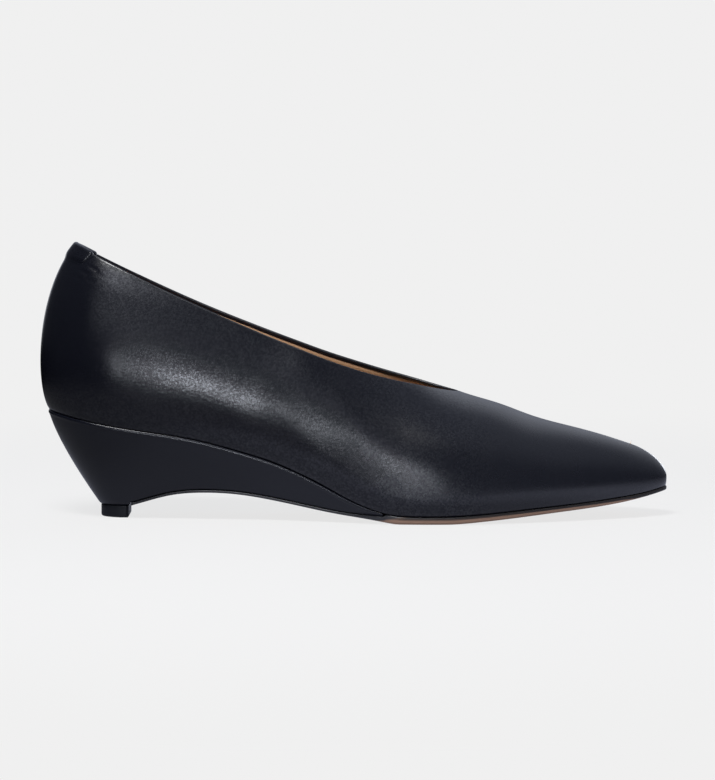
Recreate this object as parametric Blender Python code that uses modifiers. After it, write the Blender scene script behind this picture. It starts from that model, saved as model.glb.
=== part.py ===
"""A pointed slip-on shoe on a sculpted wedge, drawn from the sections of its last.

Lengths are millimetres until the meshes are made. Toe along +X, medial side +Y, floor at z = 0.
"""
from collections import namedtuple

import bpy
import numpy as np

MILLIMETRE = 0.001

# The middle of the shoe's box in the tables' own axes, which becomes the origin
MIDDLE = np.array([0.15, -0.54, 0.0])

# Thicknesses and clearances
GAP = 0.3
WALL = 1.7
INSOLE_THICKNESS = 2.2
INSOLE_INSET = 1.95
WAIST_SOLE = 1.1
SOLE_RIM = 0.35

# Upper
THROAT_X = 43.2
LOWER_TURN = 70.0
LOWER_ROWS = 3
UPPER_ROWS = 13

# Back tab
TAB_DEPTH = 7.2
TAB_INSIDE = 6.0
TAB_HALF_ARC = 25.5
TAB_FOOT = 0.84
TAB_THICKNESS = 0.6

# Wedge and heel tip
WEDGE_FRONT = 11.8
WEDGE_SWELL = 1.3
WEDGE_ROWS = 7
TIP_FRONT = -93.8
TIP_BACK = -105.8
TIP_HALF = 9.9
TIP_HEIGHT = 5.05
TIP_EDGE = 0.6
TREAD_BACK = 19.0
TREAD_FRONT = 38.0
SOLE_BACK = -92.7

# One row for each section of the last: the feather line's place, the wall's overhang past it
# on each side, the height of the widest line above it, and where the section meets the crest
Section = namedtuple("Section", "x lateral medial over_lateral over_medial rise crest_x")
LAST = (
    Section(-127.4, 0.0, 0.0, 3.5, 3.5, 19.3, -101.4),
    Section(-121.6, 13.4, 13.4, 3.4, 3.4, 19.5, -100.8),
    Section(-110.5, 21.3, 21.2, 3.2, 3.2, 20.0, -96.9),
    Section(-92.0, 24.9, 24.4, 3.0, 3.1, 20.0, -85.3),
    Section(-62.0, 25.4, 21.8, 3.2, 4.2, 18.6, -60.0),
    Section(-32.0, 26.4, 18.6, 3.7, 5.0, 16.4, -33.0),
    Section(-6.0, 30.4, 20.8, 3.45, 4.4, 14.5, -9.5),
    Section(20.0, 34.6, 28.8, 2.8, 3.2, 10.3, 16.5),
    Section(42.0, 34.8, 34.2, 2.6, 2.4, 8.8, 38.5),
    Section(65.0, 30.2, 33.2, 2.2, 2.0, 8.0, 61.0),
    Section(90.0, 21.8, 26.8, 1.7, 1.6, 7.0, 85.0),
    Section(112.0, 12.6, 18.6, 1.1, 1.1, 5.6, 104.5),
    Section(124.8, 5.0, 11.2, 0.6, 0.6, 4.3, 113.0),
    Section(130.85, -3.2, 3.2, 0.35, 0.35, 3.6, 116.0),
)

# The last's crest from the top of its cone to the toe
Crest = namedtuple("Crest", "x y z")
CREST = (
    Crest(-100.0, 0.0, 122.0),
    Crest(-84.0, 0.0, 118.5),
    Crest(-62.0, 0.0, 111.5),
    Crest(-39.0, 0.3, 103.0),
    Crest(-22.0, 0.8, 94.8),
    Crest(-10.0, 1.4, 86.8),
    Crest(2.5, 2.2, 77.4),
    Crest(15.0, 3.2, 68.2),
    Crest(27.0, 4.2, 60.4),
    Crest(38.0, 5.0, 54.3),
    Crest(50.0, 5.6, 49.8),
    Crest(61.0, 5.9, 46.5),
    Crest(75.0, 6.0, 41.3),
    Crest(90.0, 5.7, 37.2),
    Crest(104.0, 5.0, 33.5),
    Crest(116.0, 4.2, 29.7),
)

# How much more upright than a plain arc the wall stands at the joint of the foot
Full = namedtuple("Full", "x bend")
JOINT = (
    Full(-40.0, 0.0),
    Full(-18.0, 0.0010),
    Full(-6.0, 0.0028),
    Full(10.0, 0.0041),
    Full(23.0, 0.0059),
    Full(36.0, 0.0065),
    Full(52.0, 0.0032),
    Full(72.0, 0.0012),
    Full(90.0, 0.0),
)
JOINT_TALL = 27.0

# Height of the collar edge along the shoe, which meets the crest at the throat
Edge = namedtuple("Edge", "x z")
COLLAR = (
    Edge(-120.0, 115.9),
    Edge(-110.0, 111.3),
    Edge(-84.0, 98.5),
    Edge(-62.0, 88.4),
    Edge(-39.0, 78.45),
    Edge(-22.0, 71.6),
    Edge(-10.0, 66.95),
    Edge(2.5, 62.7),
    Edge(15.0, 59.15),
    Edge(27.0, 56.1),
    Edge(36.0, 53.8),
)

# How much higher the collar edge lies on the medial side
INNER = (
    Edge(-122.0, 0.0),
    Edge(-110.0, -1.2),
    Edge(-88.0, -1.6),
    Edge(-64.0, -1.3),
    Edge(-40.0, -0.45),
    Edge(-14.0, 0.35),
    Edge(2.0, 0.75),
    Edge(16.0, 0.65),
    Edge(30.0, 0.25),
    Edge(43.0, 0.0),
)

# Height of the feather line along the shoe
SEAT = (
    Edge(-127.4, 45.0),
    Edge(-114.0, 42.2),
    Edge(-100.0, 39.6),
    Edge(-86.0, 37.5),
    Edge(-67.0, 34.4),
    Edge(-48.0, 29.5),
    Edge(-31.0, 23.9),
    Edge(-15.0, 16.6),
    Edge(-3.0, 10.3),
    Edge(8.0, 5.7),
    Edge(16.0, 3.75),
    Edge(26.0, 3.2),
    Edge(40.0, 3.3),
    Edge(55.0, 4.15),
    Edge(75.0, 5.8),
    Edge(95.0, 7.4),
    Edge(112.0, 9.2),
    Edge(122.0, 10.6),
    Edge(131.0, 12.45),
)

# The underside of the sole: its height, and how far its edge lies inside the feather line
Under = namedtuple("Under", "x z inset")
ARCH = (
    Under(-93.8, 4.75, 14.3),
    Under(-86.0, 7.2, 12.5),
    Under(-76.0, 9.95, 10.0),
    Under(-62.0, 11.3, 7.4),
    Under(-48.0, 10.7, 6.0),
    Under(-35.0, 8.75, 5.2),
    Under(-20.0, 5.85, 4.2),
    Under(-8.0, 3.65, 3.2),
    Under(4.0, 2.0, 1.7),
    Under(12.0, 0.8, 0.4),
    Under(TREAD_BACK, 0.0, -0.3),
)
SPRING = (
    Edge(TREAD_FRONT, 0.0),
    Edge(50.0, 0.65),
    Edge(65.0, 1.95),
    Edge(80.0, 3.4),
    Edge(95.0, 4.8),
    Edge(110.0, 6.55),
    Edge(120.0, 8.3),
    Edge(131.5, 10.7),
)


def spline(xs, ys, start=None, end=None):
    """A cubic curve through the rows, its end slopes free unless they are given."""
    xs = np.asarray(xs, float)
    ys = np.asarray(ys, float)
    steps = np.diff(xs)
    rises = np.diff(ys) / steps
    count = len(xs)
    table = np.zeros((count, count))
    sums = np.zeros(count)
    for i in range(1, count - 1):
        table[i, i - 1] = steps[i - 1]
        table[i, i] = 2.0 * (steps[i - 1] + steps[i])
        table[i, i + 1] = steps[i]
        sums[i] = 6.0 * (rises[i] - rises[i - 1])
    table[0, 0] = 1.0
    table[-1, -1] = 1.0
    if start is not None:
        table[0, :2] = 2.0 * steps[0], steps[0]
        sums[0] = 6.0 * (rises[0] - start)
    if end is not None:
        table[-1, -2:] = steps[-1], 2.0 * steps[-1]
        sums[-1] = 6.0 * (end - rises[-1])
    bends = np.linalg.solve(table, sums)

    def curve(x, slope=False):
        x = np.asarray(x, float)
        i = np.clip(np.searchsorted(xs, x) - 1, 0, count - 2)
        h = steps[i]
        a = xs[i + 1] - x
        b = x - xs[i]
        if slope:
            return rises[i] + (bends[i + 1] * (3 * b * b - h * h) - bends[i] * (3 * a * a - h * h)) / (6 * h)
        line = ys[i] * a / h + ys[i + 1] * b / h
        return line + (bends[i] * (a ** 3 / h - h * a) + bends[i + 1] * (b ** 3 / h - h * b)) / 6.0

    return curve


def column(rows, name):
    return np.array([getattr(row, name) for row in rows])


# Curves along the girth of the feather line, from the centre of the heel to the toe
HALF = (column(LAST, "lateral") + column(LAST, "medial")) / 2.0
GIRTH = np.concatenate([[0.0], np.cumsum(np.hypot(np.diff(column(LAST, "x")), np.diff(HALF)))])
along = spline(GIRTH, column(LAST, "x"), 0.0, 0.0)
half_lateral = spline(GIRTH, column(LAST, "lateral"))
half_medial = spline(GIRTH, column(LAST, "medial"))
over_lateral = spline(GIRTH, column(LAST, "over_lateral"), 0.0, 0.0)
over_medial = spline(GIRTH, column(LAST, "over_medial"), 0.0, 0.0)
rise = spline(GIRTH, column(LAST, "rise"), 0.0, 0.0)
crest_place = spline(GIRTH, column(LAST, "crest_x"), 0.0, 0.0)

crest_y = spline(column(CREST, "x"), column(CREST, "y"))
crest_z = spline(column(CREST, "x"), column(CREST, "z"), 0.0)
seat_z = spline(column(SEAT, "x"), column(SEAT, "z"))
throat_z = float(crest_z(THROAT_X))
collar_z = spline(np.append(column(COLLAR, "x"), THROAT_X), np.append(column(COLLAR, "z"), throat_z))
arch_z = spline(column(ARCH, "x"), column(ARCH, "z"), None, 0.0)
arch_inset = spline(column(ARCH, "x"), column(ARCH, "inset"), None, 0.0)
spring_z = spline(column(SPRING, "x"), column(SPRING, "z"), 0.0)
joint_bend = spline(column(JOINT, "x"), column(JOINT, "bend"), 0.0, 0.0)
inner_lift = spline(column(INNER, "x"), column(INNER, "z"), 0.0, 0.0)


def girth_at(curve, value):
    """The girth where a rising curve takes a value."""
    low = 0.0
    high = GIRTH[-1]
    for _ in range(60):
        middle = (low + high) / 2.0
        if curve(middle) < value:
            low = middle
        else:
            high = middle
    return (low + high) / 2.0


def feather(girth, side, outset=0.0):
    """A point of the feather line in plan, moved outward, and the outward direction there."""
    half = half_lateral if side < 0 else half_medial
    tangent = np.array([along(girth, True), side * half(girth, True)])
    tangent = tangent / np.hypot(*tangent)
    outward = np.array([-side * tangent[1], side * tangent[0]])
    place = np.array([along(girth), side * half(girth)])
    return place + outward * outset, outward


def last_point(girth, side, angle):
    """A point of the last: below its widest line for a negative angle, on the crest at 90 degrees."""
    place, outward = feather(girth, side)
    over = float(over_lateral(girth) if side < 0 else over_medial(girth))
    height = float(rise(girth))
    widest = place + outward * over
    widest_z = float(seat_z(place[0])) + height
    turn = np.radians(abs(angle))
    if angle < 0:
        end = np.radians(LOWER_TURN)
        inward = over * (1.0 - np.cos(turn)) / (1.0 - np.cos(end))
        drop = height * np.sin(turn) / np.sin(end)
        return np.array([*(widest - outward * inward), widest_z - drop])
    top_x = float(crest_place(girth))
    top = np.array([top_x, float(crest_y(top_x))])
    reach = top - widest
    lean = float(crest_z(top_x, True)) * reach[0]
    climb = float(crest_z(top_x)) - widest_z - lean
    across = 1.0 - np.cos(turn)
    lift = climb * np.sin(turn) + lean * across
    bend = float(joint_bend(np.clip(place[0], JOINT[0].x, JOINT[-1].x)))
    full = bend * lift ** 2 * np.exp(-(lift / JOINT_TALL) ** 4) * np.cos(turn)
    return np.array([*(widest + reach * across + outward * full), widest_z + lift])


def collar_angle(girth, side):
    """The angle at which the collar edge cuts a section, 90 where the vamp is closed."""
    if float(crest_place(girth)) >= THROAT_X - 1e-6:
        return 90.0
    low = 0.0
    high = 90.0
    for _ in range(50):
        middle = (low + high) / 2.0
        point = last_point(girth, side, middle)
        lift = float(inner_lift(np.clip(point[0], INNER[0].x, INNER[-1].x))) if side > 0 else 0.0
        if point[2] < float(collar_z(point[0])) + lift:
            low = middle
        else:
            high = middle
    return (low + high) / 2.0


def wall_normal(girth, side, angle):
    """The outward direction of the last and the direction up its wall."""
    step = 0.05
    ahead = last_point(min(girth + step, GIRTH[-1]), side, angle)
    behind = last_point(girth - step, side, angle) if girth > step else last_point(girth + step, -side, angle)
    up = last_point(girth, side, angle + step) - last_point(girth, side, angle - step)
    normal = np.cross(ahead - behind, up) * -side
    return normal / np.linalg.norm(normal), up / np.linalg.norm(up)


def stations(first, last, spacing):
    """Places between two girths, closer where the spacing says so."""
    fine = np.linspace(first, last, 4000)
    density = np.concatenate([[0.0], np.cumsum(np.diff(fine) / spacing(fine[1:]))])
    count = int(round(density[-1]))
    return np.interp(np.linspace(0.0, density[-1], count + 1), density, fine)


def spacing(girth):
    """Close at the heel, the throat and the toe, wider along the flanks."""
    heel = np.exp(-(girth / 34.0) ** 2)
    toe = np.exp(-((GIRTH[-1] - girth) / 26.0) ** 2)
    return 10.5 - 5.2 * heel - 7.6 * toe


def show(name, points, faces, colour, roughness, collection):
    """A named object from millimetre points, with its own material."""
    mesh = bpy.data.meshes.new(name)
    mesh.from_pydata([tuple((np.asarray(p, float) - MIDDLE) * MILLIMETRE) for p in points], [], faces)
    mesh.update()
    thing = bpy.data.objects.new(name, mesh)
    collection.objects.link(thing)
    material = bpy.data.materials.new(name)
    material.use_nodes = True
    surface = material.node_tree.nodes["Principled BSDF"]
    surface.inputs["Base Color"].default_value = (*colour, 1.0)
    surface.inputs["Roughness"].default_value = roughness
    mesh.materials.append(material)
    for polygon in mesh.polygons:
        polygon.use_smooth = True
    return thing


def thicken(thing, thickness, outward):
    """Gives an open surface its wall, on the outer or the inner side."""
    wall = thing.modifiers.new("wall", "SOLIDIFY")
    wall.thickness = thickness * MILLIMETRE
    wall.offset = 1.0 if outward else -1.0
    wall.use_even_offset = True
    wall.use_quality_normals = True
    return wall


def ladder(rows, closed_start, closed_end):
    """A closed solid from rows of rungs: each row holds its lateral and medial points, top to bottom."""
    points = []
    index = []
    for number, (lateral, medial) in enumerate(rows):
        ends = (number == 0 and closed_start) or (number == len(rows) - 1 and closed_end)
        left = list(range(len(points), len(points) + len(lateral)))
        points.extend(lateral)
        if ends:
            index.append((left, left))
            continue
        right = list(range(len(points), len(points) + len(medial)))
        points.extend(medial)
        index.append((left, right))
    faces = []

    def add(*corners):
        kept = list(dict.fromkeys(corners))
        if len(kept) > 2:
            faces.append(tuple(kept))

    for (left, right), (next_left, next_right) in zip(index, index[1:]):
        add(left[0], next_left[0], next_right[0], right[0])
        add(left[-1], right[-1], next_right[-1], next_left[-1])
        for k in range(len(left) - 1):
            add(left[k + 1], next_left[k + 1], next_left[k], left[k])
            add(right[k], next_right[k], next_right[k + 1], right[k + 1])
    for rung, front in ((index[0], False), (index[-1], True)):
        left, right = rung
        if left is right:
            continue
        for k in range(len(left) - 1):
            quad = (left[k], left[k + 1], right[k + 1], right[k])
            faces.append(quad if front else quad[::-1])
    return points, faces


for old in list(bpy.data.objects):
    bpy.data.objects.remove(old)
shoe = bpy.data.collections.new("wedge_shoe")
bpy.context.scene.collection.children.link(shoe)

BLACK = (0.012, 0.012, 0.015)
TAN = (0.30, 0.17, 0.10)

# Upper: the last's surface cut at the collar, as one ring of sections
throat_girth = girth_at(crest_place, THROAT_X)
behind_throat = stations(0.0, throat_girth - 9.0, spacing)
at_throat = throat_girth - np.array([5.2, 2.4, 0.0])
past_throat = stations(throat_girth, GIRTH[-1], spacing)[1:]
ring_girths = np.concatenate([behind_throat, at_throat, past_throat])
ring = [(girth, -1) for girth in ring_girths]
ring += [(girth, 1) for girth in ring_girths[-2:0:-1]]

points = []
columns = []
crest_index = {}
for girth, side in ring:
    top = collar_angle(girth, side)
    angles = list(np.linspace(-LOWER_TURN, 0.0, LOWER_ROWS + 1))
    angles += list(np.linspace(0.0, top, UPPER_ROWS + 1)[1:])
    line = []
    for angle in angles:
        closed = angle == 90.0
        if closed and girth in crest_index:
            line.append(crest_index[girth])
            continue
        line.append(len(points))
        points.append(last_point(girth, side, angle))
        if closed:
            crest_index[girth] = line[-1]
    columns.append(line)
faces = []
for line, following in zip(columns, columns[1:] + columns[:1]):
    for k in range(len(line) - 1):
        quad = (line[k], following[k], following[k + 1], line[k + 1])
        faces.append(tuple(dict.fromkeys(quad)))
upper = show("upper", points, faces, BLACK, 0.4, shoe)
thicken(upper, WALL, False)

# Back tab: a strip folded over the collar edge at the centre of the heel
across_count = 14
outer_rows = 4
inner_rows = 3
grid = []
for step in range(across_count + 1):
    share = 2.0 * step / across_count - 1.0
    line = []

    def tab_point(depth, width, inside):
        reach = abs(share) * TAB_HALF_ARC * width
        side = 1 if share > 0 else -1
        girth = max(reach, 1e-4)
        top = collar_angle(girth, side)
        tall = np.linalg.norm(last_point(girth, side, top) - last_point(girth, side, top - 10.0)) / 10.0
        angle = top - depth / tall
        normal, up = wall_normal(girth, side, angle)
        out = -(WALL + GAP) if inside else GAP
        lift = GAP if depth == 0.0 else 0.0
        return last_point(girth, side, angle) + normal * out + up * lift

    for k in range(outer_rows + 1):
        part = k / outer_rows
        deep = TAB_DEPTH * (1.0 - 0.15 * share * share)
        line.append(tab_point(deep * (1.0 - part), TAB_FOOT + (1.0 - TAB_FOOT) * part, False))
    for k in range(inner_rows + 1):
        part = k / inner_rows
        line.append(tab_point(TAB_INSIDE * part, 1.0 - (1.0 - TAB_FOOT) * part, True))
    grid.append(line)
points = [point for line in grid for point in line]
wide = len(grid[0])
faces = []
for step in range(across_count):
    for k in range(wide - 1):
        corner = step * wide + k
        faces.append((corner, corner + 1, corner + wide + 1, corner + wide))
back_tab = show("back_tab", points, faces, BLACK, 0.45, shoe)
thicken(back_tab, TAB_THICKNESS, True)

# Insole: a board inside the feather line
board = stations(0.0, GIRTH[-1], spacing)
rows = []
for girth in board:
    sides = []
    for side in (-1, 1):
        place, _ = feather(girth, side, -INSOLE_INSET)
        low = float(seat_z(place[0]))
        sides.append([np.array([*place, low + INSOLE_THICKNESS]), np.array([*place, low])])
    rows.append(sides)
points, faces = ladder(rows, True, True)
show("insole", points, faces, TAN, 0.6, shoe)


def under_z(x):
    """Height of the sole's underside."""
    if x < TREAD_BACK:
        return float(arch_z(x))
    if x > TREAD_FRONT:
        return float(spring_z(x))
    return 0.0


def sole_top(x):
    """Height of the sole's upper face: thin under the wedge, full ahead of it."""
    full = float(seat_z(x)) - GAP
    ahead = np.clip((x - WEDGE_FRONT - GAP) / 1.2, 0.0, 1.0)
    thin = WAIST_SOLE + 1.2 * np.clip((x + 6.0) / 18.0, 0.0, 1.0) ** 1.5
    return under_z(x) + thin + (full - under_z(x) - thin) * ahead


def sole_outset(x):
    """How far the sole's edge lies outside the feather line."""
    if x > TREAD_BACK:
        return SOLE_RIM
    return -float(arch_inset(x)) + (SOLE_RIM - 0.3) * np.clip((x - 4.0) / 15.0, 0.0, 1.0)


# Places along the wedge, and the places on the arch below them that the sole shares
seat_girth = girth_at(along, -88.0)
front_girth = girth_at(along, WEDGE_FRONT)
round_heel = stations(0.0, seat_girth, spacing)
along_arch = stations(seat_girth, front_girth, spacing)[1:]
wedge_girths = np.concatenate([round_heel, along_arch])


def arch_place(girth):
    """Where a section of the wedge meets the arch: straight below it, save near the heel tip."""
    part = (girth - along_arch[0]) / (front_girth - along_arch[0])
    shift = SOLE_BACK - GAP - float(along(along_arch[0]))
    return float(along(girth)) + shift * (1.0 - part) ** 3


# Outsole: from the heel tip along the arch to the toe
marks = (WEDGE_FRONT + GAP, WEDGE_FRONT + GAP + 1.2, TREAD_BACK, TREAD_FRONT)
cuts = [girth_at(along, mark) for mark in marks]
sole_girths = [girth_at(along, SOLE_BACK)]
sole_girths += [girth_at(along, arch_place(girth)) for girth in along_arch[1:]]
for start, end in zip(cuts, cuts[1:] + [GIRTH[-1]]):
    sole_girths += list(stations(start, end, spacing)[:-1])
sole_girths.append(GIRTH[-1])
rows = []
for girth in sole_girths:
    x = float(along(girth))
    sides = []
    for side in (-1, 1):
        place, outward = feather(girth, side)
        place = place + outward * sole_outset(x) if x > TREAD_BACK else place
        if x <= TREAD_BACK:
            place = np.array([place[0], place[1] + side * sole_outset(x)])
        sides.append([np.array([*place, sole_top(place[0])]), np.array([*place, under_z(place[0])])])
    rows.append(sides)
points, faces = ladder(rows, False, True)
show("outsole", points, faces, TAN, 0.5, shoe)

# Wedge: from the feather line down to the arch and the heel tip


def wedge_foot(girth, side):
    """The foot of the wedge's wall: round the heel tip, then along the arch."""
    if girth <= seat_girth + 1e-6:
        turn = np.pi / 2.0 * girth / seat_girth
        reach = TIP_FRONT - 0.5 - TIP_BACK + 0.5
        return np.array([
            TIP_FRONT - 0.5 - reach * np.cos(turn),
            side * (TIP_HALF + 0.35) * np.sin(turn),
            TIP_HEIGHT + GAP,
        ])
    x = arch_place(girth)
    half = half_lateral if side < 0 else half_medial
    half_here = float(half(girth_at(along, x))) + sole_outset(x) - 0.15
    return np.array([x, side * half_here, sole_top(x) + GAP])


rows = []
for girth in wedge_girths:
    sides = []
    for side in (-1, 1):
        place, _ = feather(girth, side, 0.2)
        top = np.array([*place, float(seat_z(max(place[0], LAST[0].x))) - GAP])
        foot = wedge_foot(girth, side)
        line = []
        for k in range(WEDGE_ROWS + 1):
            part = k / WEDGE_ROWS
            swell = part ** WEDGE_SWELL
            plan = top[:2] + (foot[:2] - top[:2]) * swell
            line.append(np.array([*plan, top[2] + (foot[2] - top[2]) * part]))
        sides.append(line)
    rows.append(sides)
points, faces = ladder(rows, True, False)
show("wedge", points, faces, BLACK, 0.4, shoe)

# Heel tip: a rubber piece with a rounded back and a flat tread
rows = []
for step in range(9):
    turn = np.pi / 2.0 * step / 8.0
    x = TIP_FRONT - 0.5 - (TIP_FRONT - 0.5 - TIP_BACK) * np.cos(turn)
    half = TIP_HALF * np.sin(turn)
    small = 1.0 - TIP_EDGE / TIP_HALF
    low_x = TIP_FRONT - 0.5 - (TIP_FRONT - 0.5 - TIP_BACK) * small * np.cos(turn)
    sides = []
    for side in (-1, 1):
        sides.append([
            np.array([x, side * half, TIP_HEIGHT]),
            np.array([x, side * half, TIP_EDGE]),
            np.array([low_x, side * half * small, 0.0]),
        ])
    rows.append(sides)
sides = []
for side in (-1, 1):
    sides.append([
        np.array([TIP_FRONT, side * TIP_HALF, TIP_HEIGHT]),
        np.array([TIP_FRONT, side * TIP_HALF, TIP_EDGE]),
        np.array([TIP_FRONT - TIP_EDGE / 2.0, side * (TIP_HALF - TIP_EDGE), 0.0]),
    ])
rows.append(sides)
points, faces = ladder(rows, True, False)
show("top_piece", points, faces, BLACK, 0.55, shoe)
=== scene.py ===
"""A black leather slip-on on a leather-covered wedge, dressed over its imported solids.

Lengths are millimetres until a mesh is made. Toe along +X, medial side +Y, floor at z = 0.
"""
from collections import namedtuple

import bpy
import numpy as np
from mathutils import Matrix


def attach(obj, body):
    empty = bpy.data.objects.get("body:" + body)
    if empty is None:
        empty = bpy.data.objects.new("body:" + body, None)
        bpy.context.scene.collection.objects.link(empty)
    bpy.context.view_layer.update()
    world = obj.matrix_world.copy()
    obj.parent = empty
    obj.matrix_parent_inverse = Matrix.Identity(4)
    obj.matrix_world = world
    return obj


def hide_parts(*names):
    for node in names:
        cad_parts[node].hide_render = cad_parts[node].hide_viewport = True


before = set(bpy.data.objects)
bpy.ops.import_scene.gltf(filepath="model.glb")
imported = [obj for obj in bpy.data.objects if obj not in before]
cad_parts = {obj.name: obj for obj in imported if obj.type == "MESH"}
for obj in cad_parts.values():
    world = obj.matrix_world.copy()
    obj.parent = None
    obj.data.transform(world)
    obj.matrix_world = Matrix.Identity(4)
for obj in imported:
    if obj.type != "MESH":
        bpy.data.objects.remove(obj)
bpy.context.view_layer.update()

# Upper: one skin of black smooth calf, drawn over the last and closed by a seam down the heel.
# Its collar edge is folded in on itself, and its lower edge is lasted under, just above the wedge.
MILLIMETRE = 0.001
MIDDLE = np.array([0.15, -0.54, 0.0])
LOWER_TURN = 70.0
FOLD = 0.65
THROAT_X = 43.2 + FOLD

# One row for each section of the last: the feather line's place, the wall's overhang past it
# on each side, the height of the widest line above it, and where the section meets the crest
Section = namedtuple("Section", "x lateral medial over_lateral over_medial rise crest_x")
LAST = (
    Section(-127.4, 0.0, 0.0, 3.5, 3.5, 19.3, -101.4),
    Section(-121.6, 13.4, 13.4, 3.4, 3.4, 19.5, -100.8),
    Section(-110.5, 21.3, 21.2, 3.2, 3.2, 20.0, -96.9),
    Section(-92.0, 24.9, 24.4, 3.0, 3.1, 20.0, -85.3),
    Section(-62.0, 25.4, 21.8, 3.2, 4.2, 18.6, -60.0),
    Section(-32.0, 26.4, 18.6, 3.7, 5.0, 16.4, -33.0),
    Section(-6.0, 30.4, 20.8, 3.45, 4.4, 14.5, -9.5),
    Section(20.0, 34.6, 28.8, 2.8, 3.2, 8.9, 16.5),
    Section(42.0, 34.8, 34.2, 2.6, 2.4, 7.8, 38.5),
    Section(65.0, 30.2, 33.2, 2.2, 2.0, 8.0, 61.0),
    Section(90.0, 21.8, 26.8, 1.7, 1.6, 7.0, 85.0),
    Section(112.0, 12.6, 18.6, 1.1, 1.1, 5.6, 104.5),
    Section(124.8, 5.0, 11.2, 0.6, 0.6, 4.3, 113.0),
    Section(130.85, -3.2, 3.2, 0.35, 0.35, 3.6, 116.0),
)

# The last's crest from the top of its cone to the toe
Crest = namedtuple("Crest", "x y z")
CREST = (
    Crest(-100.0, 0.0, 122.0),
    Crest(-84.0, 0.0, 118.5),
    Crest(-62.0, 0.0, 111.5),
    Crest(-39.0, 0.3, 103.0),
    Crest(-22.0, 0.8, 94.8),
    Crest(-10.0, 1.4, 86.8),
    Crest(2.5, 2.2, 77.4),
    Crest(15.0, 3.2, 68.2),
    Crest(27.0, 4.2, 60.4),
    Crest(38.0, 5.0, 54.3),
    Crest(50.0, 5.6, 49.8),
    Crest(61.0, 5.9, 46.5),
    Crest(75.0, 6.0, 41.3),
    Crest(90.0, 5.7, 37.2),
    Crest(104.0, 5.0, 33.5),
    Crest(116.0, 4.2, 29.7),
)

# Heights along the shoe of the collar edge and of the feather line
Edge = namedtuple("Edge", "x z")
COLLAR = (
    Edge(-120.0, 115.9),
    Edge(-110.0, 111.3),
    Edge(-84.0, 98.5),
    Edge(-62.0, 88.4),
    Edge(-39.0, 78.45),
    Edge(-22.0, 71.6),
    Edge(-10.0, 66.95),
    Edge(2.5, 62.7),
    Edge(15.0, 59.15),
    Edge(27.0, 56.1),
    Edge(36.0, 53.8),
)

# How much higher the collar edge lies on the medial side
INNER = (
    Edge(-122.0, 0.0),
    Edge(-110.0, -1.2),
    Edge(-88.0, -1.6),
    Edge(-64.0, -1.3),
    Edge(-40.0, -0.45),
    Edge(-14.0, 0.35),
    Edge(2.0, 0.75),
    Edge(16.0, 0.65),
    Edge(30.0, 0.25),
    Edge(43.0, 0.0),
)
SEAT = (
    Edge(-127.4, 45.0),
    Edge(-114.0, 42.2),
    Edge(-100.0, 39.6),
    Edge(-86.0, 37.5),
    Edge(-67.0, 34.4),
    Edge(-48.0, 29.5),
    Edge(-31.0, 23.9),
    Edge(-15.0, 16.6),
    Edge(-3.0, 10.3),
    Edge(8.0, 5.7),
    Edge(16.0, 3.75),
    Edge(26.0, 3.2),
    Edge(40.0, 3.3),
    Edge(55.0, 4.15),
    Edge(75.0, 5.8),
    Edge(95.0, 7.4),
    Edge(112.0, 9.2),
    Edge(122.0, 10.6),
    Edge(131.0, 12.45),
)

# How much more upright than a plain arc the wall stands at the joint of the foot
Full = namedtuple("Full", "x bend")
JOINT = (
    Full(-40.0, 0.0),
    Full(-18.0, 0.0010),
    Full(-6.0, 0.0028),
    Full(10.0, 0.0041),
    Full(23.0, 0.0054),
    Full(36.0, 0.0060),
    Full(52.0, 0.0032),
    Full(72.0, 0.0012),
    Full(90.0, 0.0),
)
JOINT_TALL = 27.0

# Puckers beside the back tab and a soft ridge at the waist, each a line on the wall with its depth
# and width
Pucker = namedtuple("Pucker", "x_start z_start x_end z_end depth width")
PUCKERS = (
    Pucker(-26.0, 58.0, -20.0, 28.0, -0.26, 8.0),
    Pucker(-112.6, 103.4, -109.6, 101.6, 0.11, 0.75),
    Pucker(-110.6, 100.3, -107.4, 98.9, 0.06, 0.80),
    Pucker(-108.8, 105.0, -105.8, 103.3, 0.09, 0.70),
    Pucker(-106.2, 102.2, -103.9, 101.4, 0.05, 0.75),
    Pucker(-114.6, 100.8, -112.4, 99.2, 0.07, 0.80),
)


def spline(xs, ys, start=None, end=None):
    """A cubic curve through the rows, its end slopes free unless they are given."""
    xs = np.asarray(xs, float)
    ys = np.asarray(ys, float)
    steps = np.diff(xs)
    rises = np.diff(ys) / steps
    count = len(xs)
    table = np.zeros((count, count))
    sums = np.zeros(count)
    for i in range(1, count - 1):
        table[i, i - 1] = steps[i - 1]
        table[i, i] = 2.0 * (steps[i - 1] + steps[i])
        table[i, i + 1] = steps[i]
        sums[i] = 6.0 * (rises[i] - rises[i - 1])
    table[0, 0] = 1.0
    table[-1, -1] = 1.0
    if start is not None:
        table[0, :2] = 2.0 * steps[0], steps[0]
        sums[0] = 6.0 * (rises[0] - start)
    if end is not None:
        table[-1, -2:] = steps[-1], 2.0 * steps[-1]
        sums[-1] = 6.0 * (end - rises[-1])
    bends = np.linalg.solve(table, sums)

    def curve(x, slope=False):
        x = np.asarray(x, float)
        i = np.clip(np.searchsorted(xs, x) - 1, 0, count - 2)
        h = steps[i]
        a = xs[i + 1] - x
        b = x - xs[i]
        if slope:
            change = bends[i + 1] * (3 * b * b - h * h) - bends[i] * (3 * a * a - h * h)
            return rises[i] + change / (6 * h)
        line = ys[i] * a / h + ys[i + 1] * b / h
        return line + (bends[i] * (a ** 3 / h - h * a) + bends[i + 1] * (b ** 3 / h - h * b)) / 6.0

    return curve


def column(rows, name):
    return np.array([getattr(row, name) for row in rows])


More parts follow.
